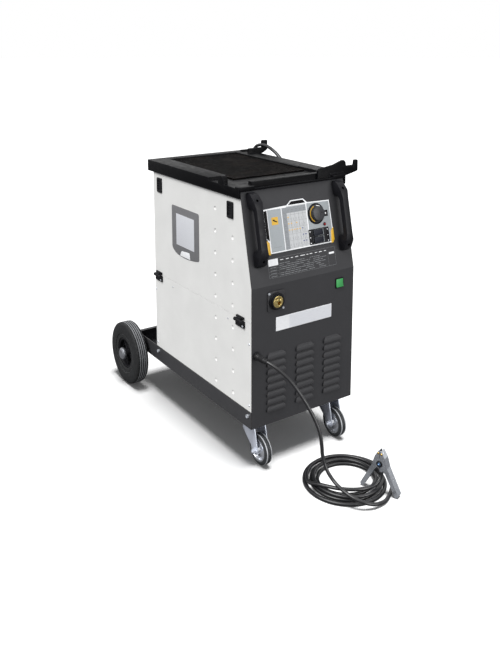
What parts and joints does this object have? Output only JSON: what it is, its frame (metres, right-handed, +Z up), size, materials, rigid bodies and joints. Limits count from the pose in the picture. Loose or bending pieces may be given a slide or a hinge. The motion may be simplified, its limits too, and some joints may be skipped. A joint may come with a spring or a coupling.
{
  "type": "mig welder on cart",
  "caption": "Upright sheet-metal MIG welder on a wheeled chassis with bottle platform, wire-bay door, louvred front, top tray, earth cable with clamp and mains cable.",
  "frame": {"origin": "middle of the machine's footprint, on the floor", "axes": "+X to the machine's right as seen from its front, +Y to its rear, +Z up"},
  "size_m": [0.6697, 1.2175, 0.9053],
  "materials": {
    "dark_panel": "satin powder coat",
    "grey_panel": "satin powder coat",
    "white_panel": "satin powder coat",
    "black_plastic": "fine grain",
    "mat_rubber": "ribbed",
    "silver_plate": "satin",
    "green_rocker": "gloss",
    "red_lamp": "clear red",
    "brass": "machined",
    "zinc": "zinc plated",
    "tyre_rubber": "matt",
    "cable_rubber": "semi gloss",
    "steel_sheet": "plain",
    "copper": "enamelled wire",
    "copper_wire": "coppered steel wire",
    "core_steel": "varnished laminations",
    "board": "printed board",
    "aluminium": "extruded",
    "spool_plastic": "moulded"
  },
  "bodies": {
    "body": {"chassis_tray": "dark_panel", "front_panel": "grey_panel", "lower_side_panel": "white_panel", "right_side_panel": "white_panel", "rear_panel": "dark_panel", "divider_panel": "steel_sheet", "top_tray": "black_plastic", "top_mat": "mat_rubber", "control_plate": "silver_plate", "front_bezels": "black_plastic", "indicator_lamp": "red_lamp", "handles": "black_plastic", "torch_socket": "brass", "cable_glands": "black_plastic", "fasteners": "zinc", "body_hinges": "black_plastic", "rear_axle": "zinc", "castor_plates": "zinc", "earth_cord_run": "cable_rubber", "earth_coil": "cable_rubber", "earth_cord_tail": "cable_rubber", "clamp_fixed_arm": "zinc", "clamp_pivot": "zinc", "mains_cord": "cable_rubber", "mains_coil": "cable_rubber", "mains_plug": "black_plastic", "spool_hub": "black_plastic", "feed_motor": "aluminium", "transformer_core": "core_steel", "transformer_windings": "copper", "rectifier": "aluminium", "circuit_board": "board", "gas_valve": "brass", "fan_frame": "black_plastic"},
    "door": {"side_door": "white_panel", "door_hinges": "black_plastic"},
    "latch_front": {"latch_front": "black_plastic"},
    "latch_rear": {"latch_rear": "black_plastic"},
    "knob": {"selector_knob": "black_plastic"},
    "upper_selector": {"upper_selector": "black_plastic"},
    "lower_selector": {"lower_selector": "black_plastic"},
    "power_rocker": {"power_rocker": "green_rocker"},
    "wheel_left": {"tyre_left": "tyre_rubber", "hub_left": "black_plastic"},
    "wheel_right": {"tyre_right": "tyre_rubber", "hub_right": "black_plastic"},
    "castor_left": {"fork_left": "zinc"},
    "castor_right": {"fork_right": "zinc"},
    "castor_wheel_left": {"castor_tyre_left": "tyre_rubber", "castor_rim_left": "zinc"},
    "castor_wheel_right": {"castor_tyre_right": "tyre_rubber", "castor_rim_right": "zinc"},
    "clamp_arm": {"clamp_moving_arm": "zinc"},
    "spool": {"wire_spool": "spool_plastic", "wound_wire": "copper_wire"},
    "drive_roll": {"drive_roll": "zinc"},
    "pressure_arm": {"pressure_arm": "black_plastic"},
    "pressure_roll": {"pressure_roll": "zinc"},
    "tension_lever": {"tension_lever": "black_plastic"},
    "fan": {"fan_rotor": "black_plastic"}
  },
  "joints": [
    {"name": "door_hinge", "type": "hinge", "parent": "body", "child": "door", "pos_m": [-0.2035, -0.1225, 0.459], "axis": [0, -1, 0], "range_deg": [0, 160]},
    {"name": "latch_front_slide", "type": "slide", "parent": "door", "child": "latch_front", "axis": [0, 0, -1], "range_m": [0, 0.008]},
    {"name": "latch_rear_slide", "type": "slide", "parent": "door", "child": "latch_rear", "axis": [0, 0, -1], "range_m": [0, 0.008]},
    {"name": "knob_turn", "type": "hinge", "parent": "body", "child": "knob", "pos_m": [0.0696, -0.38328, 0.74841], "axis": [0, -0.9774, 0.2113], "range_deg": [-150, 150]},
    {"name": "upper_selector_tilt", "type": "hinge", "parent": "body", "child": "upper_selector", "pos_m": [0.0685, -0.39539, 0.6924], "axis": [0, -0.2113, -0.9774], "range_deg": [0, 16]},
    {"name": "lower_selector_tilt", "type": "hinge", "parent": "body", "child": "lower_selector", "pos_m": [0.0685, -0.40012, 0.67051], "axis": [0, -0.2113, -0.9774], "range_deg": [0, 16]},
    {"name": "power_rocker_tilt", "type": "hinge", "parent": "body", "child": "power_rocker", "pos_m": [0.13575, -0.4225, 0.526], "axis": [1, 0, 0], "range_deg": [0, 16]},
    {"name": "wheel_left_spin", "type": "hinge", "parent": "body", "child": "wheel_left", "pos_m": [-0.232, 0.3335, 0.115], "axis": [1, 0, 0], "continuous": true},
    {"name": "wheel_right_spin", "type": "hinge", "parent": "body", "child": "wheel_right", "pos_m": [0.232, 0.3335, 0.115], "axis": [1, 0, 0], "continuous": true},
    {"name": "castor_left_swivel", "type": "hinge", "parent": "body", "child": "castor_left", "pos_m": [-0.1465, -0.3655, 0.121], "axis": [0, 0, 1], "continuous": true},
    {"name": "castor_right_swivel", "type": "hinge", "parent": "body", "child": "castor_right", "pos_m": [0.1465, -0.3655, 0.121], "axis": [0, 0, 1], "continuous": true},
    {"name": "castor_wheel_left_spin", "type": "hinge", "parent": "castor_left", "child": "castor_wheel_left", "pos_m": [-0.1465, -0.4005, 0.048], "axis": [1, 0, 0], "continuous": true},
    {"name": "castor_wheel_right_spin", "type": "hinge", "parent": "castor_right", "child": "castor_wheel_right", "pos_m": [0.1465, -0.4005, 0.048], "axis": [1, 0, 0], "continuous": true},
    {"name": "clamp_open", "type": "hinge", "parent": "body", "child": "clamp_arm", "pos_m": [0.0555, -0.709, 0.088], "axis": [-0.9397, -0.342, 0], "range_deg": [0, 9], "stiffness_Nm_per_rad": 2, "springref_deg": -22.92},
    {"name": "spool_spin", "type": "hinge", "parent": "body", "child": "spool", "pos_m": [-0.106, 0.0175, 0.63], "axis": [1, 0, 0], "continuous": true},
    {"name": "drive_roll_spin", "type": "hinge", "parent": "body", "child": "drive_roll", "pos_m": [-0.11, -0.3025, 0.5026], "axis": [1, 0, 0], "continuous": true},
    {"name": "tension_lever_turn", "type": "hinge", "parent": "body", "child": "tension_lever", "pos_m": [-0.0994, -0.3425, 0.5006], "axis": [1, 0, 0], "range_deg": [0, 40]},
    {"name": "pressure_arm_lift", "type": "hinge", "parent": "body", "child": "pressure_arm", "pos_m": [-0.1, -0.2625, 0.541], "axis": [-1, 0, 0], "range_deg": [0, 14]},
    {"name": "pressure_roll_spin", "type": "hinge", "parent": "pressure_arm", "child": "pressure_roll", "pos_m": [-0.11, -0.3025, 0.5334], "axis": [1, 0, 0], "continuous": true},
    {"name": "fan_spin", "type": "hinge", "parent": "body", "child": "fan", "pos_m": [-0.06, 0.1675, 0.3], "axis": [0, 1, 0], "continuous": true}
  ],
  "couplings": [
    {"joint": "pressure_arm_lift", "follows": "tension_lever_turn", "ratio": 0.35},
    {"joint": "pressure_roll_spin", "follows": "drive_roll_spin", "ratio": -1}
  ]
}
